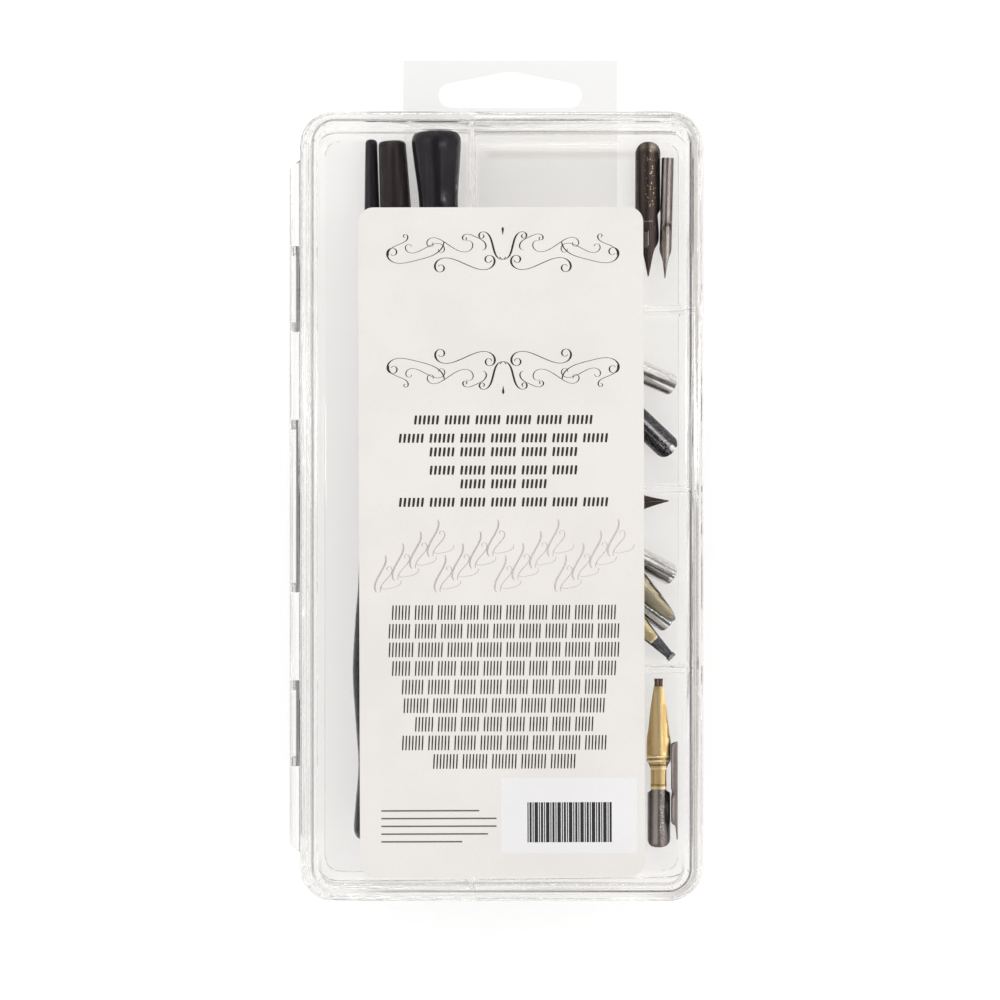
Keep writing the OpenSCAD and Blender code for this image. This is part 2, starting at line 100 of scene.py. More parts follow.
# Plain rules: height, and how much shorter than the longest one
RULES = ((-70.8, 4), (-72.6, 0), (-74.4, 0), (-76.2, 2), (-78.0, 8))
RULE_LEFT, RULE_RIGHT, RULE_WIDTH = -28.2, -1.4, 0.34
# Faint pen lines: piece, starts of its groups of four and how light they are
FAINT_LINES = (("faint_pen_lines", (-28.3, -14.4), 1.0), ("fainter_pen_lines", (-0.4, 13.6), 1.14))
# White patch: size and middle. Plain bars on it: how many, left side, widths in turn, gap, foot and top
PATCH_SIZE, PATCH_MIDDLE, PATCH_CORNER = (31.6, 17.5), (15.7, -71.95), 0.5
BARS, BARS_LEFT = 30, 5.8
BAR_WIDTHS, BAR_GAP, BAR_FOOT, BAR_TOP = (0.26, 0.5, 0.26, 0.8), 0.21, -78.2, -68.9
# Flat print: height of its lines as a share of their width, and how far the print stands in the paper, in mm
PRINT_FLATNESS, PRINT_LIFT, FAINT_LIFT, BARS_LIFT = 0.03, 0.012, 0.008, 0.02

# Each nib: material slot, place of its shank end in metres, turn in degrees, finish
NIBS = {
    "broad_nib_1": ("bright_steel", (0.0413, 0.0284), 66.8, "bright"),
    "broad_nib_2": ("bright_steel", (0.0411, -0.0168), 62.5, "bright"),
    "broad_nib_3": ("bright_steel", (0.0401, -0.0281), 54.5, "bright"),
    "broad_nib_4": ("grey_steel", (0.0135, 0.0020), -136.5, "grey"),
    "broad_nib_5": ("blued_steel", (0.0125, -0.0080), -135.0, "blued"),
    "broad_nib_6": ("grey_steel", (0.03745, -0.0809), 0.0, "grey"),
    "globe_nib": ("bronzed_steel", (0.0348, 0.0865), 180.0, "bronzed"),
    "crow_quill_nib": ("grey_steel", (0.0395, 0.0826), 178.5, "grey"),
    "imperial_nib": ("blued_steel", (0.0407, 0.0128), 46.5, "blued"),
    "drawing_nib": ("bronzed_steel", (0.0170, 0.00015), -87.3, "bronzed"),
    "school_nib": ("grey_steel", (0.04035, -0.0559), 180.0, "grey"),
    "mapping_nib": ("blued_steel", (-0.0015, 0.0125), -80.0, "blued"),
}
# A nib's slit and vent as they are in the solids, and the share that their gaps are drawn together to; in mm
SLIT_HALF, VENT_HALF, DRAWN_TO = 0.07, 0.35, 0.12
SLIT_START = 15
OFF_MIDDLE = {"broad_nib_6": -0.213}  # a nib whose slit doesn't lie on its middle line
UNSLIT = "school_nib"  # lies on its side
GLOBE_SHANK = 3.0  # radius of the large nib's round shank end

# What a mark on a nib is filled with
PLAIN, SPECKLED, DOTTED = "plain", "speckled", "dotted"
# A painted highlight's colour and a painted shade's colour; the shade also draws the dark slit lines
PAINTED_HIGHLIGHT, SHADE = (0.95, 0.95, 0.94), (0.05, 0.045, 0.045)
GOLD, PALE = (0.62, 0.48, 0.25), (0.4, 0.37, 0.35)
# Marks are (across, half width, from, to, softness, colour, share, fill), in mm along and across the nib.
# Most of them are painted highlights, reflections and shade on the metal
STEEL_MARKS_AND_PAINTED_LIGHT = {
    # Painted reflections across the shank: a dark speckled band down the middle, white highlights beside it,
    # darker bands at the edges
    "broad_nib_1": (
        (0, 0.75, 0, 14, 0.15, SHADE, 0.75, SPECKLED),
        (1.25, 0.4, 0, 14, 0.15, PAINTED_HIGHLIGHT, 0.9, PLAIN),
        (-1.1, 0.35, 0, 14, 0.15, PAINTED_HIGHLIGHT, 0.9, PLAIN),
        (-2, 0.45, 1, 14, 0.15, (0.16, 0.14, 0.13), 0.8, PLAIN),
        (2.2, 0.5, 0, 14, 0.1, (0.25, 0.24, 0.23), 0.5, SPECKLED),
    ),
    # Painted reflections across the shank: a white highlight down the middle and darker bands beside it; also
    # a thin dark line and dark specks at the shank end
    "broad_nib_2": (
        (1.3, 0.12, 0, 14, 0.08, SHADE, 0.7, PLAIN),
        (2, 0.6, 0, 14, 0.1, (0.2, 0.19, 0.18), 0.6, SPECKLED),
        (0.3, 0.8, 0, 14, 0.3, PAINTED_HIGHLIGHT, 0.7, PLAIN),
        (-1, 0.5, 1, 14, 0.3, (0.14, 0.13, 0.125), 0.8, PLAIN),
        (0.8, 0.5, 0.3, 5, 0.2, SHADE, 0.7, SPECKLED),
    ),
    # Painted reflections: a white highlight near the shank end and a darker band along one edge; also dark
    # speckled bands
    "broad_nib_3": (
        (0.4, 0.5, 0, 7, 0.3, PAINTED_HIGHLIGHT, 1.0, PLAIN),
        (1.6, 0.8, 3, 14, 0.3, (0.12, 0.11, 0.1), 0.8, SPECKLED),
        (-2, 0.5, 0, 14, 0.2, (0.16, 0.15, 0.145), 0.8, PLAIN),
        (-0.6, 0.3, 1, 14, 0.2, SHADE, 0.6, SPECKLED),
    ),
    # A pale round foot, with a band of painted shade across the nib just before it
    "broad_nib_4": (
        (0, 0.8, 38.4, 40, 0.15, PALE, 0.9, PLAIN),
        (0, 2.6, 36.5, 38.3, 0.3, SHADE, 0.6, PLAIN),
    ),
    # Two thin painted highlight lines, and a line of painted shade at the bend before the pale foot
    "broad_nib_5": (
        (0, 1.3, 39, 40.2, 0.1, PALE, 1.0, PLAIN),
        (0.5, 0.05, 28, 39, 0.05, PALE, 0.7, PLAIN),
        (-0.3, 0.05, 28, 39, 0.05, PALE, 0.5, PLAIN),
        (0, 1.3, 38.4, 38.9, 0.15, SHADE, 0.8, PLAIN),
    ),
    # Painted reflections across the shank: dark edges with lighter bands between them; then a grey-brown tip
    "broad_nib_6": (
        (-2.2, 0.4, 0, 14, 0.3, SHADE, 0.8, PLAIN),
        (-0.9, 0.5, 0.8, 14, 0.3, (0.6, 0.57, 0.55), 0.7, PLAIN),
        (0.6, 0.7, 1, 13, 0.2, (0.75, 0.72, 0.7), 0.8, SPECKLED),
        (2.4, 0.5, 0, 14, 0.3, SHADE, 0.8, PLAIN),
        (0, 3, 38, 41, 0.1, (0.15, 0.105, 0.08), 1.0, PLAIN),
    ),
    # A dotted gold band, painted highlights on the round shank end, a band of painted shade along one edge, a
    # lighter patch where the vent is drawn together and a pale line across
    "globe_nib": (
        (-0.6, 1.3, 0.5, 15.5, 0.5, GOLD, 0.9, DOTTED),
        (-2.2, 0.7, 2, 20, 0.4, (0.02, 0.016, 0.015), 0.7, PLAIN),
        (-1.4, 0.9, 0.2, 2.2, 0.8, (0.4, 0.33, 0.28), 0.6, PLAIN),
        (1.3, 0.9, 0.4, 2, 0.8, (0.2, 0.17, 0.15), 0.6, PLAIN),
        (0.4, 0.5, 21.5, 25.2, 0.1, (0.2, 0.17, 0.165), 0.8, PLAIN),
        (0, 1, 18.9, 19.1, 0.06, PALE, 0.5, PLAIN),
    ),
    # Two painted highlights, painted shade down one side of the tube, an arch of painted shade in the open
    # nose and along its edges, and the dark slit line
    "crow_quill_nib": (
        (-0.55, 0.22, 18.3, 24, 0.12, PALE, 0.9, PLAIN),
        (0.35, 0.18, 20, 26, 0.12, PALE, 0.8, PLAIN),
        (-1.3, 0.3, -1, 15, 0.15, SHADE, 0.6, PLAIN),
        (-0.4, 0.75, 15.5, 16.3, 0.3, SHADE, 0.95, PLAIN),
        (0.55, 0.3, 16.2, 17.3, 0.3, SHADE, 0.9, PLAIN),
        (1.05, 0.25, 17.2, 19.2, 0.25, SHADE, 0.85, PLAIN),
        (-1.15, 0.25, 15.9, 17.2, 0.25, SHADE, 0.9, PLAIN),
        (0, 0.06, 24, 29, 0.05, SHADE, 0.9, PLAIN),
        (-1.35, 0.2, 17, 25, 0.1, SHADE, 0.8, PLAIN),
        (1.3, 0.2, 17, 25, 0.1, SHADE, 0.7, PLAIN),
    ),
    # Painted highlights and glints: light streaks down the shank, speckled pale bands at its sides, bright
    # specks and a white patch at the shank end
    "imperial_nib": (
        (0.6, 0.3, -1, 15, 0.25, (0.62, 0.6, 0.6), 0.9, PLAIN),
        (-0.75, 0.12, 2, 15, 0.12, PALE, 0.7, PLAIN),
        (1.9, 0.9, 0.5, 15, 0.4, PALE, 0.45, SPECKLED),
        (-0.2, 0.9, 0.5, 4.5, 0.5, PAINTED_HIGHLIGHT, 0.8, SPECKLED),
        (0.5, 0.7, 0, 1.4, 0.3, PAINTED_HIGHLIGHT, 0.8, PLAIN),
        (-2, 0.8, 1, 15, 0.4, PALE, 0.35, SPECKLED),
    ),
    "drawing_nib": (
        (0, 0.06, 12, 23, 0.05, SHADE, 0.9, PLAIN),
    ),
    # A band of painted shade down the side of the nib
    "school_nib": (
        (0.4, 0.35, 0, 24, 0.2, (0.07, 0.055, 0.05), 0.8, PLAIN),
    ),
}
BRASS_MARKS_AND_PAINTED_LIGHT = {
    # A line of painted shade along the reservoir's edge, stepped to follow its taper, and a broad painted
    # highlight
    "broad_nib_4": (
        (-2.6, 0.3, 20, 26, 0.15, SHADE, 0.9, PLAIN),
        (-2.15, 0.25, 25.5, 30, 0.15, SHADE, 0.9, PLAIN),
        (-1.75, 0.22, 29.5, 33.5, 0.15, SHADE, 0.9, PLAIN),
        (-1.35, 0.2, 33, 38, 0.15, SHADE, 0.9, PLAIN),
        (0.6, 0.5, 20, 37, 0.4, (0.42, 0.38, 0.28), 0.5, PLAIN),
    ),
    "broad_nib_5": (
        (0, 3, 22, 33.3, 0.2, (0.37, 0.31, 0.18), 0.9, PLAIN),
        (0, 3, 33.3, 34, 0.1, (0.66, 0.58, 0.42), 0.9, PLAIN),
    ),
    # Painted light and shade: a shade line down one edge, stepped to follow its taper, bright and dark bands
    # across the neck, shade down the neck's sides, broad highlights and a darker band on the shield. Also a
    # darker speckled patch at the left
    "broad_nib_6": (
        (2.5, 0.3, 21.8, 26.5, 0.2, (0.16, 0.09, 0.03), 0.8, PLAIN),
        (2.1, 0.25, 26, 30, 0.2, (0.16, 0.09, 0.03), 0.8, PLAIN),
        (1.75, 0.2, 29.5, 34, 0.2, (0.16, 0.09, 0.03), 0.7, PLAIN),
        (0, 3, 13.8, 14.3, 0.1, (1.0, 0.86, 0.55), 1.0, PLAIN),
        (0, 3, 14.6, 15, 0.2, (0.2, 0.12, 0.04), 0.7, PLAIN),
        (0, 3, 18.4, 18.9, 0.1, (1.0, 0.86, 0.55), 1.0, PLAIN),
        (0, 3, 19.3, 19.7, 0.15, (0.14, 0.08, 0.03), 0.8, PLAIN),
        (0, 3, 20.2, 20.6, 0.1, (1.0, 0.9, 0.62), 0.9, PLAIN),
        (0, 3, 21.2, 21.6, 0.1, (1.0, 0.9, 0.62), 0.8, PLAIN),
        (1.45, 0.12, 14.5, 18.4, 0.1, (0.14, 0.08, 0.03), 0.8, PLAIN),
        (-1.45, 0.12, 14.5, 18.4, 0.1, (0.3, 0.19, 0.07), 0.7, PLAIN),
        (-0.6, 0.9, 22, 37, 0.6, (1.0, 0.84, 0.5), 0.45, PLAIN),
        (-1.9, 0.5, 21.8, 28, 0.4, (0.36, 0.23, 0.08), 0.7, SPECKLED),
        (1.1, 0.35, 22.5, 34, 0.35, (0.42, 0.27, 0.09), 0.6, PLAIN),
        (0.2, 0.8, 23, 27.5, 0.4, (1.0, 0.92, 0.68), 0.9, DOTTED),
    ),
}

# Painted shade in the clear plastic: a dark line and a soft shade along the lid's step, a dark line beside
# the hinge and a soft shade in the bend of the finger scoop. Where they lie is in mm, as clear_plastic takes
# it
STEP_SHADE_LINE, STEP_SHADE = (0.02, 0.014, 0.03), (0.5, 0.465, 0.435)
HINGE_SHADE_LINE, SCOOP_SHADE = (0.1, 0.09, 0.09), (0.9, 0.875, 0.86)
LID_STEP, LID_HINGE_SHADE = (43.95, 89.7, 5.4), (47.7, 0.4)
TRAY_SCOOP, TRAY_HINGE_SHADE = (-4.5, 33, 83.7, 1.7), (47.2, 0.2)
PLASTIC_IOR = 1.46
STEEL_ROUGHNESS = {"bright": 0.13, "grey": 0.3, "blued": 0.27, "bronzed": 0.38}
BRASS_ROUGHNESS, DULL_BRASS_ROUGHNESS = 0.34, 0.4

# Light from all round by the height it comes from, 0 level and 1 straight above:
# on the object, and seen through the plastic
AROUND = ((0.0, 1.0), (0.78, 1.0), (0.88, 0.75), (0.965, 0.12), (1.0, 0.04))
THROUGH = ((0.0, 0.45), (0.12, 0.65), (0.25, 1.0), (0.9, 1.0), (0.95, 0.15), (1.0, 0.05))
# Softboxes: name, place, width and length in metres, power in watts
SOFTBOXES = (
    ("softbox_right", (0.52, 0.05, 0.78), (0.05, 0.75), 1.0),
    ("softbox_left", (-0.75, 0.25, 0.55), (0.35, 0.7), 0.8),
    ("softbox_top", (0.02, 1.0, 0.38), (0.22, 0.1), 1.6),
)
# Where the camera looks straight down, and the gap that keeps the floor out of the plane of the case's foot
EYE = (-0.000375, 0.00143)
FLOOR_DROP = 0.0001


class Wire:
    """A value in a node tree. Arithmetic on it adds Math nodes."""

    def __init__(self, finish, socket):
        self.finish, self.socket = finish, socket

    def _math(self, operation, first, second=0.0):
        return self.finish.node("ShaderNodeMath", {0: first, 1: second}, operation=operation)

    def __add__(self, other):
        return self._math("ADD", self, other)

    def __sub__(self, other):
        return self._math("SUBTRACT", self, other)

    def __rsub__(self, other):
        return self._math("SUBTRACT", other, self)

    def __mul__(self, other):
        return self._math("MULTIPLY", self, other)

    def __pow__(self, other):
        return self._math("POWER", self, other)

    def __abs__(self):
        return self._math("ABSOLUTE", self)

    def least(self, other):
        return self._math("MINIMUM", self, other)

    def most(self, other):
        return self._math("MAXIMUM", self, other)

    def rise(self, low, high):
        """0 below low, 1 above high, smooth between; falls instead where low is above high."""
        turned = low > high
        span = {0: self, 1: min(low, high), 2: max(low, high), 3: float(turned), 4: float(not turned)}
        return self.finish.node("ShaderNodeMapRange", span, interpolation_type="SMOOTHSTEP")

    def out(self, name):
        return Wire(self.finish, self.socket.node.outputs[name])


class Finish:
    """A material and the making of its nodes."""

    def __init__(self, name):
        self.material = bpy.data.materials.new(name)
        self.material.use_nodes = True
        self.tree = self.material.node_tree
        self.tree.nodes.clear()

    def node(self, kind, inputs=None, **settings):
        made = self.tree.nodes.new(kind)
        for key, value in settings.items():
            setattr(made, key, value)
        for key, value in (inputs or {}).items():
            if isinstance(value, Wire):
                self.tree.links.new(value.socket, made.inputs[key])
            elif hasattr(value, "__len__") and len(value) == 3 and made.inputs[key].type == "RGBA":
                made.inputs[key].default_value = (*value, 1)
            else:
                made.inputs[key].default_value = value
        shown = [s for s in made.outputs if s.enabled]
        return Wire(self, shown[0]) if shown else None

    def place(self, origin=(0, 0, 0), turn=0.0, scale=(1, 1, 1)):
        """Object coordinates seen from origin, turned about Z, then stretched."""
        where = self.node("ShaderNodeTexCoord").out("Object")
        local = self.node(
            "ShaderNodeMapping",
            {"Vector": where, "Location": origin, "Rotation": (0, 0, math.radians(turn))},
            vector_type="TEXTURE",
        )
        return self.node("ShaderNodeVectorMath", {0: local, 1: scale}, operation="MULTIPLY")

    def noise(self, where, scale, detail=3.0, roughness=0.55):
        inputs = {"Vector": where, "Scale": scale, "Detail": detail, "Roughness": roughness}
        return self.node("ShaderNodeTexNoise", inputs, normalize=True)

    def blend(self, share, first, second):
        return self.node("ShaderNodeMix", {0: share, 6: first, 7: second}, data_type="RGBA")

    def bump(self, height, strength, distance):
        return self.node("ShaderNodeBump", {"Height": height, "Strength": strength, "Distance": distance})

    def shade(self, **inputs):
        named = {key.replace("_", " "): value for key, value in inputs.items()}
        return self.node("ShaderNodeBsdfPrincipled", named)

    def done(self, shader):
        self.node("ShaderNodeOutputMaterial", {"Surface": shader})
        return self.material


def clear_plastic(name, tint, haze, outline=None, hinge_shade=None, scoop=None):
    """Moulded clear plastic that bends what is behind it and lets plain light through to the contents.

    outline is a rounded rectangle (half width, half length, corner radius); along its step a dark line of
    painted shade is drawn, with a soft painted shade outside it at the right and inside it at the foot. web
    is the place and half width of a dark line of painted shade beside the hinge barrels, left of the middle.
    scoop is (from, to, middle, half width) of the soft painted shade in the bend of the finger scoop. All in
    mm.
    """
    finish = Finish(name)
    where = finish.place()
    ripple = finish.noise(where, 25.0, 1.0)
    wear = finish.noise(finish.place(scale=(1, 0.12, 1), turn=24), 900.0, 4.0).rise(0.66, 0.8)
    colour = tint
    split = finish.node("ShaderNodeSeparateXYZ", {0: where})
    x, y, z = (split.out(axis) for axis in "XYZ")
    if outline:
        half_w, half_l, radius = (size * MM for size in outline)
        across, along = abs(x) - (half_w - radius), abs(y - 0.15 * MM) - (half_l - radius)
        outside = (across.most(0.0) ** 2 + along.most(0.0) ** 2) ** 0.5
        away = outside + across.most(along).least(0.0) - radius
        # The painted shade line is strongest along the right side, and runs out at the top right and the
        # bottom left
        line = abs(away).rise(0.4 * MM, 0.18 * MM)
        strongest = x.rise(40 * MM, 43 * MM) * y.rise(-60 * MM, -45 * MM)
        line *= x.rise(-20 * MM, 30 * MM) * 0.2 + strongest * 0.06 + 0.68
        line *= 1 - y.rise(84 * MM, 88 * MM) * x.rise(14 * MM, 38 * MM) * 0.95
        line *= 1 - y.rise(-84 * MM, -88 * MM) * x.rise(-24 * MM, -38 * MM) * 0.8
        # Soft painted shade outside the step at the right and inside it at the foot
        shade_outside = away.rise(0.35 * MM, 0.6 * MM) * away.rise(1.8 * MM, 1.5 * MM)
        shade_outside *= x.rise(30 * MM, 44 * MM) * 0.9
        shade_inside = away.rise(-2.2 * MM, -1.9 * MM) * away.rise(-1.2 * MM, -1.5 * MM)
        shade_inside *= y.rise(-80 * MM, -87 * MM) * 0.8
        top = z.rise(20.5 * MM, 21 * MM)
        colour = finish.blend(top * (shade_outside + shade_inside).least(1.0), colour, STEP_SHADE)
        colour = finish.blend(top * line, colour, STEP_SHADE_LINE)
    if hinge_shade:
        # A dark line of painted shade beside the hinge barrels
        place, half = (size * MM for size in hinge_shade)
        beside = abs(x + place).rise(half + 0.12 * MM, half - 0.12 * MM)
        colour = finish.blend(beside * 0.85, colour, HINGE_SHADE_LINE)
    if scoop:
        # A soft painted shade in the bend of the finger scoop
        left, right, middle, half = (size * MM for size in scoop)
        bend = abs(y - middle).rise(half, 0.0) * x.rise(left, left + 2 * MM) * x.rise(right, right - 2 * MM)
        colour = finish.blend(bend * z.rise(4 * MM, 3 * MM), colour, SCOOP_SHADE)
    glass = finish.shade(
        Base_Color=colour, Roughness=wear * 0.003 + haze, IOR=PLASTIC_IOR, Transmission_Weight=1.0,
        Normal=finish.bump(ripple, 0.0015, 0.001),
    )
    ray = finish.node("ShaderNodeLightPath")
    clear = finish.node("ShaderNodeBsdfTransparent", {"Color": (0.998, 0.997, 0.995)})
    lit = finish.node("ShaderNodeMixShader", {0: ray.out("Is Diffuse Ray"), 1: glass, 2: clear})
    return finish.done(finish.node("ShaderNodeMixShader", {0: ray.out("Is Shadow Ray"), 1: lit, 2: clear}))


def paper(name, colour):
    """Uncoated card with a fine grain and a faint mottle."""
    finish = Finish(name)
    where = finish.place()
    grain = finish.noise(where, 2600.0, 4.0, 0.7)
    mottle = finish.noise(where, 45.0, 3.0)
    darker = tuple(c * 0.955 for c in colour)
    tone = finish.blend(mottle.rise(0.35, 0.7), colour, darker)
    tone = finish.blend(grain.rise(0.5, 0.8) * 0.7, tone, tuple(c * 0.88 for c in colour))
    bump = finish.bump(grain, 0.25, 0.00006)
    return finish.done(finish.shade(Base_Color=tone, Roughness=0.62, Normal=bump))


def ink(name, colour):
    """Printing ink, a little broken by the paper's grain."""
    finish = Finish(name)
    grain = finish.noise(finish.place(), 4200.0, 3.0, 0.7)
    tone = finish.blend(grain.rise(0.5, 0.8) * 0.3, colour, tuple(min(1.0, c * 1.8 + 0.05) for c in colour))
    return finish.done(finish.shade(Base_Color=tone, Roughness=0.5))


def holder_plastic(name, colour, sheen, roughness, streaks):
    """Turned and polished holder: long faint streaks, tiny pits and a soft wear on its gloss."""
    finish = Finish(name)
    lengthwise = finish.place(scale=(1, 0.03, 1))
    streak = finish.noise(lengthwise, 900.0, 3.0)
    smudge = finish.noise(finish.place(), 70.0, 4.0, 0.6)
    pits = finish.noise(finish.place(), 2400.0, 2.0).rise(0.66, 0.8)
    tone = finish.blend(streak.rise(0.45, 0.75) * streaks, colour, sheen)
    gloss = smudge * 0.08 + pits * 0.1 + (roughness - 0.04)
    height = streak * 0.5 + pits * -0.3
    return finish.done(
        finish.shade(
            Base_Color=tone, Roughness=gloss, IOR=PLASTIC_IOR, Specular_IOR_Level=0.25,
            Normal=finish.bump(height, 0.18, 0.00005),
        )
    )


def pressed_metal(name, origin, turn, colour, dark, glint, roughness, press=0.35, smoke=0.35, marks=()):
    """Pressed nib metal: rolling lines, pressed grain, clouds, painted glints, and its marks, mostly painted
    light and shade.
    """
    finish = Finish(name)
    local = finish.place((*origin, 0), turn)
    split = finish.node("ShaderNodeSeparateXYZ", {0: local})
    rolled = finish.noise(finish.place((*origin, 0), turn, (1, 0.05, 1)), 2600.0, 3.0)
    cloud = finish.noise(finish.place((*origin, 0), turn, (1, 0.35, 1)), 420.0, 4.0, 0.65)
    speck = finish.noise(local, 3400.0, 2.0)
    speckles = speck.rise(0.56, 0.64)
    grain = finish.node("ShaderNodeTexVoronoi", {"Vector": local, "Scale": 1500.0})
    points = grain.rise(0.28, 0.16)
    tone = finish.blend(cloud.rise(0.42, 0.68) * smoke, colour, dark)
    tone = finish.blend(rolled.rise(0.52, 0.78) * 0.5, tone, dark)
    # Painted glints: specks of a lighter colour, scaled by how pressed the metal is
    tone = finish.blend(speck.rise(0.6, 0.74) * press, tone, glint)
    waver = (cloud - 0.5) * 0.4 * MM
    across, along = split.out("X") + waver, split.out("Y") + waver
    # Each mark lays a band or patch over the tone: most are painted highlights, reflections and shade; some
    # are slit lines, feet, tips and a vent
    for middle, half, start, end, soft, shade, share, fill in marks:
        inside = abs(across - middle * MM).rise((half + soft) * MM, (half - soft) * MM)
        begun = along.rise((start - soft) * MM, (start + soft) * MM)
        inside *= begun * along.rise((end + soft) * MM, (end - soft) * MM)
        if fill != PLAIN:
            inside *= points if fill == DOTTED else speckles
        tone = finish.blend(inside * share, tone, shade)
    height = grain * press + rolled * 0.5 + cloud * smoke
    rough = rolled * 0.12 + speck.rise(0.5, 0.8) * 0.1 + (roughness - 0.07)
    return finish.done(
        finish.shade(Base_Color=tone, Metallic=1.0, Roughness=rough, Normal=finish.bump(height, 0.3, 0.0001))
    )


def pick(*objects):
    """Selects only these objects and makes the last one active."""
    bpy.ops.object.select_all(action="DESELECT")
    for thing in objects:
        thing.select_set(True)
    bpy.context.view_layer.objects.active = objects[-1]


def wear_finish(piece, finish):
    piece.data.materials.clear()
    piece.data.materials.append(finish)


def smooth_copy(node, name, angle=SMOOTH_ANGLE, even=True):
    """A merged copy of a CAD node, shaded smooth over its rounds and flat over its flats."""
    pick(frame["nodes"][node])
    bpy.ops.object.duplicate()
    piece = bpy.context.object
    bpy.ops.object.parent_clear(type="CLEAR_KEEP_TRANSFORM")
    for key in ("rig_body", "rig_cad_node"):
        piece.pop(key, None)
    piece.name = piece.data.name = name
    bpy.ops.object.mode_set(mode="EDIT")
    bpy.ops.mesh.select_all(action="SELECT")
    bpy.ops.mesh.remove_doubles(threshold=1e-6)
    bpy.ops.object.mode_set(mode="OBJECT")
    bpy.ops.object.shade_smooth_by_angle(angle=math.radians(angle))
    if even:
        level = piece.modifiers.new("even_normals", "WEIGHTED_NORMAL")
        level.keep_sharp = True
        level.weight = 80
        bpy.ops.object.modifier_apply(modifier=level.name)
    return piece


def stand_in(node, name, finish, body, slot, **how):
    """A smooth copy that stands for its CAD node, with its finish and body; the material slot is not used."""
    piece = smooth_copy(node, name, **how)
    wear_finish(piece, finish)
    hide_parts(node)
    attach(piece, body)
    return piece


def select_points(piece, wanted):
    """Goes into edit mode with only the wanted points selected."""
    pick(piece)
    bpy.ops.object.mode_set(mode="EDIT")
    bpy.ops.mesh.select_mode(type="VERT")
    bpy.ops.mesh.select_all(action="DESELECT")
    bpy.ops.object.mode_set(mode="OBJECT")
    for vertex in piece.data.vertices:
        vertex.select = bool(wanted(vertex.co))
    bpy.ops.object.mode_set(mode="EDIT")


def part_faces(piece, height, shift):
    """Moves the flat at this height, so that it isn't in the same plane as the face that it rests on."""
    select_points(piece, lambda at: abs(at.z - height) < 1e-5)
    bpy.ops.transform.translate(value=(0, 0, shift))
    bpy.ops.object.mode_set(mode="OBJECT")


def beside_nib(origin, turn, at):
    """A point's distances across and along a nib, in mm, from its shank end."""
    way = math.radians(turn)
    x, y = (at.x - origin[0]) / MM, (at.y - origin[1]) / MM
    return x * math.cos(way) + y * math.sin(way), y * math.cos(way) - x * math.sin(way)


def close_slit(piece, origin, turn, middle):
    """Draws the two sides of a nib's slit and vent together to the hairline that a pressed slit is."""

    def in_slit(at):
        across, along = beside_nib(origin, turn, at)
        off = abs(across - middle)
        return along > SLIT_START and (abs(off - SLIT_HALF) < 0.03 or abs(off - VENT_HALF) < 0.012)

    select_points(piece, in_slit)
    way = math.radians(turn)
    axis = Vector((math.cos(way), math.sin(way), 0))
    centre = Vector((*origin, 0)) + axis * middle * MM
    bpy.ops.transform.resize(
        value=(DRAWN_TO, 1, 1), center_override=centre, orient_type="GLOBAL", orient_matrix_type="GLOBAL",
        orient_matrix=Matrix.Rotation(way, 3, "Z"),
    )
    bpy.ops.object.mode_set(mode="OBJECT")


def round_shank(piece, origin, turn, radius):
    """Trims a nib's shank end to a half circle."""
    way = math.radians(turn)
    bpy.ops.object.select_all(action="DESELECT")
    bpy.ops.mesh.primitive_cylinder_add(
        vertices=96, radius=radius * MM, depth=30 * MM, location=(0, radius * MM, 0)
    )
    cutter = bpy.context.object
    bpy.ops.object.transform_apply(location=True)
    select_points(cutter, lambda at: at.y > (radius + 0.01) * MM)
    bpy.ops.transform.translate(value=(0, 50 * MM, 0))
    bpy.ops.mesh.select_all(action="SELECT")
    bpy.ops.mesh.normals_make_consistent(inside=False)
    bpy.ops.object.mode_set(mode="OBJECT")
    cutter.rotation_euler.z, cutter.location = way, (*origin, 0)
    trim = piece.modifiers.new("round_end", "BOOLEAN")
    trim.operation, trim.solver, trim.object = "INTERSECT", "EXACT", cutter
    pick(piece)
    bpy.ops.object.modifier_apply(modifier=trim.name)
    bpy.data.objects.remove(cutter)
    bpy.ops.object.shade_smooth_by_angle(angle=math.radians(SMOOTH_ANGLE))


def branch(x, y, heading, length, turn, tight=1.7, steps=36):
    """Points of a scroll's branch. It leaves (x, y) on the heading and bends by turn, ever more tightly."""
    points, angle, step = [(x, y)], math.radians(heading), length / steps
    for i in range(steps):
        bend = math.radians(turn) * (tight + 1) / length * ((i + 0.5) / steps) ** tight * step
        x, y = x + step * math.cos(angle + bend / 2), y + step * math.sin(angle + bend / 2)
        angle += bend
        points.append((x, y))
    return points


def scroll(x, y, heading, ahead, behind):
    """Both branches of a scroll, from end to end; ahead and behind are each (length, turn)."""
    return branch(x, y, heading + 180, *behind)[:0:-1] + branch(x, y, heading, *ahead)


def pen_widths(points, hairline, swell):
    """A pointed pen's line: thin across, broad up and down, and running out at both ends."""
    widths = []
    for i, (x, y) in enumerate(points):
        before, after = points[max(i - 1, 0)], points[min(i + 1, len(points) - 1)]
        run = math.hypot(after[0] - before[0], after[1] - before[1])
        steep = abs(after[1] - before[1]) / run
        taper = max(math.sin(math.pi * i / (len(points) - 1)), 0.0) ** 0.4
        widths.append((hairline + swell * steep**2.2) * (0.35 + 0.65 * taper))
    return widths


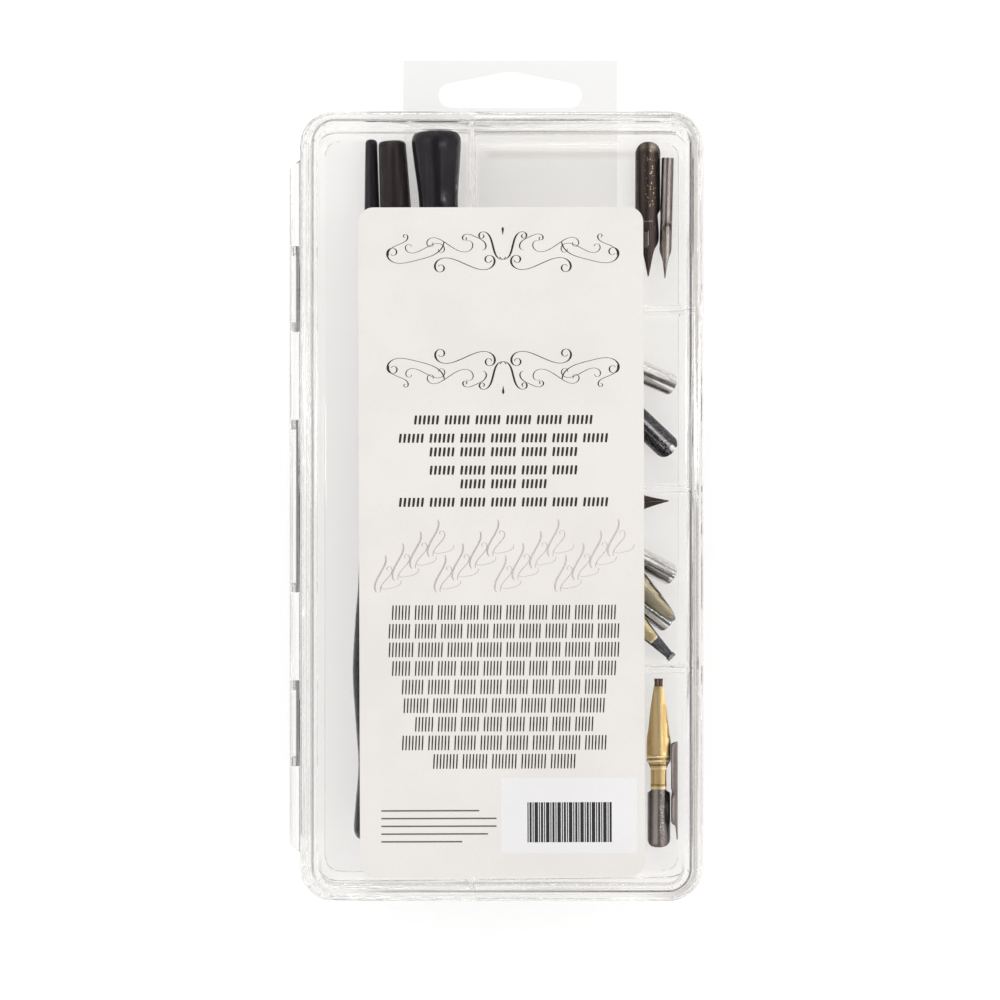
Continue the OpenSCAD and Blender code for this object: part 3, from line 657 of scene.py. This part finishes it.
def print_lines(name, strokes, finish, lift=PRINT_LIFT):
    """Flat printed lines on the label. A stroke is its points and widths, in mm from the case's middle."""
    bpy.ops.object.select_all(action="DESELECT")
    bpy.ops.curve.primitive_bezier_curve_add(location=(0, 0, 0))
    piece = bpy.context.object
    curve = piece.data
    curve.splines.clear()
    curve.dimensions, curve.bevel_depth, curve.bevel_resolution, curve.use_fill_caps = "3D", MM, 0, True
    lean = math.radians(LABEL_TURN)
    for points, widths in strokes:
        spline = curve.splines.new("POLY")
        spline.points.add(len(points) - 1)
        for point, (x, y), width in zip(spline.points, points, widths):
            point.co = ((x - y * lean) * MM, (y + x * lean) * MM, 0, 1)
            point.radius = width / 2
    bpy.ops.object.convert(target="MESH")
    piece = bpy.context.object
    piece.name = piece.data.name = name
    bpy.ops.object.mode_set(mode="EDIT")
    bpy.ops.mesh.select_all(action="SELECT")
    bpy.ops.transform.resize(value=(1, 1, PRINT_FLATNESS), center_override=(0, 0, 0))
    bpy.ops.transform.translate(value=(0, 0, LABEL_TOP + lift * MM))
    bpy.ops.mesh.normals_make_consistent(inside=False)
    bpy.ops.object.mode_set(mode="OBJECT")
    wear_finish(piece, finish)
    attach(piece, "lid")


def drill_row(middle, low, half, tall, width, pitch, group, slant):
    """A row of equal pen-practice strokes in whole groups. It fills about half to each side of middle."""
    groups = round(2 * half / (pitch * (group + 1)))
    strokes, x = [], middle - 0.5 * pitch * (groups * (group + 1) - 2) - 0.5 * slant * tall
    for i in range(groups * (group + 1) - 1):
        if i % (group + 1) < group:
            lean = slant * tall
            line = [(x, low), (x + lean / 2, low + tall / 2), (x + lean, low + tall)]
            strokes.append((line, [width * 0.85, width, width * 0.9]))
        x += pitch
    return strokes


def colour_property(name, description, value):
    return FloatVectorProperty(
        name=name, description=description, subtype="COLOR", size=3, min=0, max=1, default=value
    )


class CaseLook(bpy.types.PropertyGroup):
    tint: colour_property(
        "Plastic tint", "What clear plastic keeps of the light at each face", (1.0, 0.993, 0.984)
    )
    haze: FloatProperty(name="Haze", description="Roughness of the plastic", default=0.0, min=0, max=0.2)
    film: colour_property("Film tint", "What the hang tab's film keeps of the light", (0.937, 0.933, 0.928))


class LabelLook(bpy.types.PropertyGroup):
    card: colour_property("Card", "Cream card of the label", (0.868, 0.832, 0.792))
    ink: colour_property("Ink", "Near-black printing ink", (0.012, 0.010, 0.009))
    grey: colour_property("Grey ink", "Dark grey rules", (0.12, 0.11, 0.1))
    faint: colour_property("Faint ink", "Pale brown-grey pen lines", (0.6, 0.525, 0.475))
    patch: colour_property("Patch", "White patch under the bars", (0.9, 0.885, 0.895))
    print_middle: FloatProperty(name="Print middle", description="Middle of the print, in mm", default=0.45)


class HolderLook(bpy.types.PropertyGroup):
    black: colour_property("Black", "Glossy black holders", (0.013, 0.011, 0.015))
    black_light: colour_property("Black streaks", "Lighter streaks of the black holders", (0.035, 0.03, 0.04))
    brown: colour_property("Brown black", "Satin brown-black holder", (0.017, 0.0115, 0.011))
    brown_light: colour_property(
        "Brown streaks", "Lighter streaks of the brown-black holder", (0.044, 0.034, 0.031)
    )
    clip: colour_property("Clips", "Spring clips' steel", (0.62, 0.61, 0.6))


class NibLook(bpy.types.PropertyGroup):
    bright: colour_property("Bright steel", "Bright broad-edge nibs", (0.86, 0.85, 0.84))
    grey: colour_property("Grey steel", "Satin grey nibs", (0.27, 0.235, 0.22))
    blued: colour_property("Blued steel", "Dark blue-grey nibs", (0.075, 0.077, 0.09))
    bronzed: colour_property("Bronzed steel", "Dark bronze nibs", (0.062, 0.047, 0.043))
    brass: colour_property("Bright brass", "Bright reservoirs", (0.86, 0.63, 0.3))
    dull_brass: colour_property("Dull brass", "Dulled olive reservoir", (0.34, 0.3, 0.21))


class StageLook(bpy.types.PropertyGroup):
    floor_size: FloatProperty(name="Floor", description="Side of the floor", subtype="DISTANCE", default=6.0)
    light_bounces: IntProperty(
        name="Light bounces", description="How often light may turn inside the plastic", default=40, min=8
    )
    floor_glow: FloatProperty(
        name="Floor white", description="How much of its own white the floor shows", default=0.6, min=0, max=1
    )
    floor_lift: FloatProperty(
        name="Floor lift", description="How much brighter than lit the floor looks", default=1.18, min=1
    )
    eye_height: FloatProperty(
        name="Camera height", description="Camera above the floor", subtype="DISTANCE", default=0.8424
    )
    lens: FloatProperty(name="Lens", description="Focal length in millimetres", default=127.03)
    surround: FloatProperty(name="Surround", description="Strength of the light from all round", default=1.0)
    lamps: IntProperty(name="Lamps", description="How many softboxes are lit", default=3, min=0, max=3)


class CALLIGRAPHY_OT_stage(bpy.types.Operator):
    """White floor, even light, softboxes and the camera straight above"""

    bl_idname = "calligraphy.stage"
    bl_label = "Stage"

    def execute(self, context):
        look = context.scene.stage_look
        context.scene.view_settings.view_transform = "Standard"
        cycles = context.scene.cycles
        cycles.max_bounces = cycles.transmission_bounces = cycles.transparent_max_bounces = look.light_bounces
        cycles.glossy_bounces = look.light_bounces
        bpy.ops.mesh.primitive_plane_add(size=look.floor_size, location=(0, 0, 0))
        floor = context.object
        floor.name = floor.data.name = "floor"
        floor.location.z = -FLOOR_DROP
        bpy.ops.object.transform_apply(location=True)
        finish = Finish("floor_white")
        ray = finish.node("ShaderNodeLightPath")
        seen = ray.out("Is Camera Ray") + ray.out("Is Glossy Ray") + ray.out("Is Transmission Ray")
        matt = finish.node("ShaderNodeBsdfDiffuse", {"Color": (1.0, 1.0, 1.0)})
        lifted = finish.node("ShaderNodeBsdfDiffuse", {"Color": (look.floor_lift,) * 3})
        white = finish.node("ShaderNodeEmission", {"Color": (1, 1, 1), "Strength": 1.0})
        shadowed = finish.node("ShaderNodeMixShader", {0: look.floor_glow, 1: lifted, 2: white})
        surface = finish.node("ShaderNodeMixShader", {0: seen.least(1.0), 1: matt, 2: shadowed})
        wear_finish(floor, finish.done(surface))

        world = bpy.data.worlds.new("studio")
        world.use_nodes = True
        context.scene.world = world
        nodes, links = world.node_tree.nodes, world.node_tree.links
        way = nodes.new("ShaderNodeTexCoord")
        split = nodes.new("ShaderNodeSeparateXYZ")
        links.new(way.outputs["Generated"], split.inputs[0])
        through = nodes.new("ShaderNodeMix")
        through.data_type = "RGBA"
        links.new(nodes.new("ShaderNodeLightPath").outputs["Is Transmission Ray"], through.inputs[0])
        links.new(through.outputs[2], nodes["Background"].inputs["Color"])
        for stops, socket in ((AROUND, 6), (THROUGH, 7)):
            ramp = nodes.new("ShaderNodeValToRGB")
            while len(ramp.color_ramp.elements) < len(stops):
                ramp.color_ramp.elements.new(0.5)
            for element, (place, level) in zip(ramp.color_ramp.elements, stops):
                element.position, element.color = place, (level, level, level, 1)
            links.new(split.outputs["Z"], ramp.inputs[0])
            links.new(ramp.outputs[0], through.inputs[socket])
        nodes["Background"].inputs["Strength"].default_value = look.surround

        for name, place, (wide, long), power in SOFTBOXES[: look.lamps]:
            bpy.ops.object.light_add(type="AREA", location=place)
            lamp = context.object
            lamp.name = lamp.data.name = name
            lamp.data.shape, lamp.data.size, lamp.data.size_y = "RECTANGLE", wide, long
            lamp.data.energy = power
            lamp.rotation_euler = (-Vector(place)).to_track_quat("-Z", "Y").to_euler()
        bpy.ops.object.camera_add(location=(*EYE, look.eye_height), rotation=(0, 0, 0))
        context.scene.camera = context.object
        context.object.data.lens = look.lens
        context.object.data.sensor_width = 36.0
        context.object.data.clip_start, context.object.data.clip_end = 0.01, 20.0
        return {"FINISHED"}


class CALLIGRAPHY_OT_case(bpy.types.Operator):
    """Clear base and lid, and the film hang tab"""

    bl_idname = "calligraphy.case"
    bl_label = "Clear case"

    def execute(self, context):
        look = context.scene.case_look
        plastic = clear_plastic("tray_plastic", look.tint, look.haze, hinge_shade=TRAY_HINGE_SHADE, scoop=TRAY_SCOOP)
        stand_in("base_tray", "tray_clear", plastic, "base", "clear_case")
        plastic = clear_plastic("lid_plastic", look.tint, look.haze, outline=LID_STEP, hinge_shade=LID_HINGE_SHADE)
        lid = stand_in("lid", "lid_clear", plastic, "lid", "clear_case")
        part_faces(lid, LID_UNDERSIDE, APART)
        film = clear_plastic("tab_film", look.film, look.haze)
        tab = stand_in("hang_tab", "tab_clear", film, "base", "clear_film")
        part_faces(tab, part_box("hang_tab")[1].z, -APART)
        return {"FINISHED"}


class CALLIGRAPHY_OT_label(bpy.types.Operator):
    """Paper label on the lid"""

    bl_idname = "calligraphy.label"
    bl_label = "Label"

    def execute(self, context):
        look = context.scene.label_look
        finish = paper("label_paper", look.card)
        pick(stand_in("label", "label_card", finish, "lid", "label_paper", even=False))
        bpy.ops.object.shade_flat()
        return {"FINISHED"}


class CALLIGRAPHY_OT_print(bpy.types.Operator):
    """Scrollwork, practice strokes, faint pen lines and a white patch with bars, printed on the label"""

    bl_idname = "calligraphy.print"
    bl_label = "Print on the label"

    def execute(self, context):
        look = context.scene.label_look
        black = ink("print_black", look.ink)
        mid = look.print_middle
        ornament = []
        for height, flip in BANDS:
            for x, y, heading, ahead, behind, hairline, swell in SCROLLS:
                half = scroll(x, y, heading, ahead, behind)
                widths = pen_widths(half, hairline * BOLDNESS, swell * BOLDNESS)
                for side in (1, -1):
                    ornament.append(([(mid + side * a, height + flip * b) for a, b in half], widths))
            drop = [(mid, height + flip * d) for d in (4.4, 5.2, 5.9, 6.4)]
            ornament.append((drop, [0.05, 0.35, 0.6, 0.05]))
        print_lines("scrollwork", ornament, black)

        rows = []
        for low, half in TITLE_ROWS:
            rows += drill_row(mid, low, half, tall=2.1, width=0.58, pitch=1.02, group=6, slant=0.12)
        print_lines("bold_strokes", rows, black)
        rows = []
        for i, half in enumerate(SMALL_ROWS):
            low = SMALL_FOOT - SMALL_STEP * i
            rows += drill_row(mid, low, half, tall=3.4, width=0.34, pitch=0.76, group=6 + i % 3, slant=0.05)
        print_lines("fine_strokes", rows, black)
        widths = [RULE_WIDTH, RULE_WIDTH]
        rules = [([(RULE_LEFT, y), (RULE_RIGHT - short, y)], widths) for y, short in RULES]
        print_lines("small_rules", rules, ink("print_grey", look.grey))

        for name, starts, tone in FAINT_LINES:
            faint = []
            for start in starts:
                for i in range(4):
                    x, y = start + 4.1 * i, -15.6 + 2.75 * i
                    line = scroll(x, y, 60, (4.6, 55), (4.8, 75))
                    faint.append((line, pen_widths(line, 0.12, 0.34)))
                    loop = scroll(x + 1.6, y - 1.2, 48, (5.0, 320), (3.6, 60))
                    faint.append((loop, pen_widths(loop, 0.1, 0.16)))
                    join = scroll(x + 2.4, y - 3.4, 12, (3.4, 95), (2.6, -80))
                    faint.append((join, pen_widths(join, 0.1, 0.12)))
            shade = tuple(min(c * tone, 0.8) for c in look.faint)
            print_lines(name, faint, ink(name + "_ink", shade), lift=FAINT_LIFT)

        bpy.ops.object.select_all(action="DESELECT")
        bpy.ops.mesh.primitive_plane_add(size=1, location=(0, 0, 0))
        patch = context.object
        patch.name = patch.data.name = "white_patch"
        bpy.ops.object.mode_set(mode="EDIT")
        bpy.ops.transform.resize(value=(PATCH_SIZE[0] * MM, PATCH_SIZE[1] * MM, 1))
        bpy.ops.mesh.bevel(offset=PATCH_CORNER * MM, segments=3, affect="VERTICES")
        bpy.ops.transform.translate(value=(PATCH_MIDDLE[0] * MM, PATCH_MIDDLE[1] * MM, LABEL_TOP))
        bpy.ops.mesh.extrude_region_move(TRANSFORM_OT_translate={"value": (0, 0, FAINT_LIFT * MM)})
        bpy.ops.mesh.select_all(action="SELECT")
        bpy.ops.mesh.normals_make_consistent(inside=False)
        bpy.ops.object.mode_set(mode="OBJECT")
        wear_finish(patch, paper("patch_white", look.patch))
        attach(patch, "lid")
        bars, x = [], BARS_LEFT
        for i in range(BARS):
            width = BAR_WIDTHS[i % 4]
            bars.append(([(x + width / 2, BAR_FOOT), (x + width / 2, BAR_TOP)], [width, width]))
            x += width + BAR_GAP
        print_lines("plain_bars", bars, black, lift=BARS_LIFT)
        return {"FINISHED"}


class CALLIGRAPHY_OT_holders(bpy.types.Operator):
    """Three holders with their spring clips"""

    bl_idname = "calligraphy.holders"
    bl_label = "Holders"

    def execute(self, context):
        look = context.scene.holder_look
        black = holder_plastic("black_gloss", look.black, look.black_light, 0.1, 0.4)
        brown = holder_plastic("brown_satin", look.brown, look.brown_light, 0.34, 0.9)
        steel = pressed_metal(
            "clip_steel", (0, 0), 0, look.clip, tuple(c * 0.6 for c in look.clip), (0.9, 0.9, 0.9),
            STEEL_ROUGHNESS["grey"], press=0.1,
        )
        for body, finish in (("holder_a", black), ("holder_b", brown), ("holder_c", black)):
            slot = "brown_holder" if finish is brown else "black_holder"
            stand_in(body, body + "_turned", finish, body, slot, angle=50)
            stand_in(body + "_clip", body + "_spring", steel, body, "clip_steel")
        return {"FINISHED"}


class CALLIGRAPHY_OT_nibs(bpy.types.Operator):
    """Twelve nibs and six reservoirs"""

    bl_idname = "calligraphy.nibs"
    bl_label = "Nibs"

    def execute(self, context):
        look = context.scene.nib_look
        for node, (slot, origin, turn, kind) in NIBS.items():
            colour = getattr(look, kind)
            dark = tuple(c * 0.5 for c in colour)
            glint = tuple(min(1.0, c * 1.5 + 0.05) for c in colour)
            steel = pressed_metal(
                node + "_steel", origin, turn, colour, dark, glint, STEEL_ROUGHNESS[kind],
                marks=STEEL_MARKS_AND_PAINTED_LIGHT.get(node, ()),
            )
            nib = stand_in(node, node + "_pressed", steel, "base", slot)
            if node != UNSLIT:
                close_slit(nib, origin, turn, OFF_MIDDLE.get(node, 0.0))
            if node == "globe_nib":
                round_shank(nib, origin, turn, GLOBE_SHANK)
            if node.startswith("broad"):
                dull = node == "broad_nib_4"
                metal = look.dull_brass if dull else look.brass
                dark, glint = tuple(c * 0.6 for c in metal), tuple(min(1.0, c * 1.3) for c in metal)
                brass = pressed_metal(
                    node + "_brass", origin, turn, metal, dark, glint,
                    DULL_BRASS_ROUGHNESS if dull else BRASS_ROUGHNESS, press=0.2, smoke=0.2,
                    marks=BRASS_MARKS_AND_PAINTED_LIGHT.get(node, ()),
                )
                name = node + "_reservoir"
                stand_in(name, name + "_rolled", brass, "base", "dull_brass" if dull else "bright_brass")
        return {"FINISHED"}


class CALLIGRAPHY_PT_pieces(bpy.types.Panel):
    """Lists the pieces of the calligraphy set box"""

    bl_label = "Calligraphy Set"
    bl_space_type = "VIEW_3D"
    bl_region_type = "UI"
    bl_category = "Calligraphy Set"

    def draw(self, context):
        for operator, group in STEPS:
            box = self.layout.box()
            box.operator(operator.bl_idname)
            look = getattr(context.scene, group)
            for key in look.__annotations__:
                box.prop(look, key)


STEPS = (
    (CALLIGRAPHY_OT_stage, "stage_look"),
    (CALLIGRAPHY_OT_case, "case_look"),
    (CALLIGRAPHY_OT_label, "label_look"),
    (CALLIGRAPHY_OT_print, "label_look"),
    (CALLIGRAPHY_OT_holders, "holder_look"),
    (CALLIGRAPHY_OT_nibs, "nib_look"),
)
LOOKS = {
    "stage_look": StageLook,
    "case_look": CaseLook,
    "label_look": LabelLook,
    "holder_look": HolderLook,
    "nib_look": NibLook,
}


def register():
    for group, kind in LOOKS.items():
        bpy.utils.register_class(kind)
        setattr(bpy.types.Scene, group, PointerProperty(type=kind))
    for operator, _ in STEPS:
        bpy.utils.register_class(operator)
    bpy.utils.register_class(CALLIGRAPHY_PT_pieces)


def unregister():
    bpy.utils.unregister_class(CALLIGRAPHY_PT_pieces)
    for operator, _ in reversed(STEPS):
        bpy.utils.unregister_class(operator)
    for group, kind in reversed(LOOKS.items()):
        delattr(bpy.types.Scene, group)
        bpy.utils.unregister_class(kind)


def main():
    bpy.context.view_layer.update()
    register()
    bpy.ops.calligraphy.stage()
    bpy.ops.calligraphy.case()
    bpy.ops.calligraphy.label()
    bpy.ops.calligraphy.print()
    bpy.ops.calligraphy.holders()
    bpy.ops.calligraphy.nibs()


if __name__ == "__main__":
    main()
